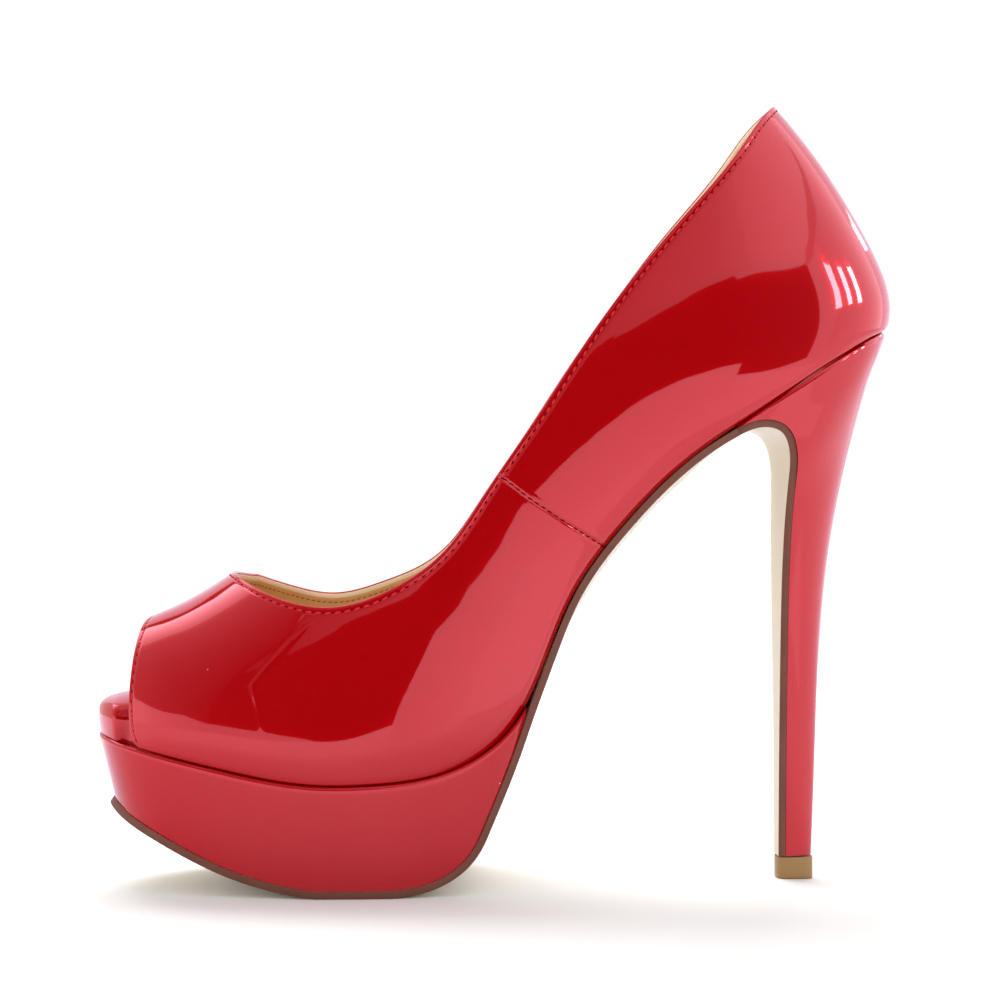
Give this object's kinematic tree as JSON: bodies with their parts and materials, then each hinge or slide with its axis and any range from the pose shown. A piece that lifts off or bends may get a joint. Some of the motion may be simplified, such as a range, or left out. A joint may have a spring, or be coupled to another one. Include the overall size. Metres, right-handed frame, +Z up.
{
  "type": "platform pump",
  "caption": "Peep-toe platform pump for a right foot: hollow upper on a wrapped platform, thin outsole that runs down a covered stiletto heel, and a plastic top piece.",
  "frame": {"origin": "middle of the base of the bounding box, on the floor", "axes": "+Z up, -X to the toe, +X to the heel, -Y to the inner side of the foot"},
  "size_m": [0.2184, 0.0841, 0.2143],
  "materials": {
    "upper": "glossy red patent outside, tan lining inside",
    "insole": "red patent wrap at the open toe, tan sock inside",
    "platform": "glossy red patent wrap",
    "outsole": "smooth cream face with a brown painted edge",
    "heel": "glossy red patent cover",
    "top_piece": "ochre, slightly worn"
  },
  "bodies": {
    "root": {"upper": "upper", "insole": "insole", "platform": "platform", "outsole": "outsole", "heel": "heel", "top_piece": "top_piece"}
  },
  "joints": []
}
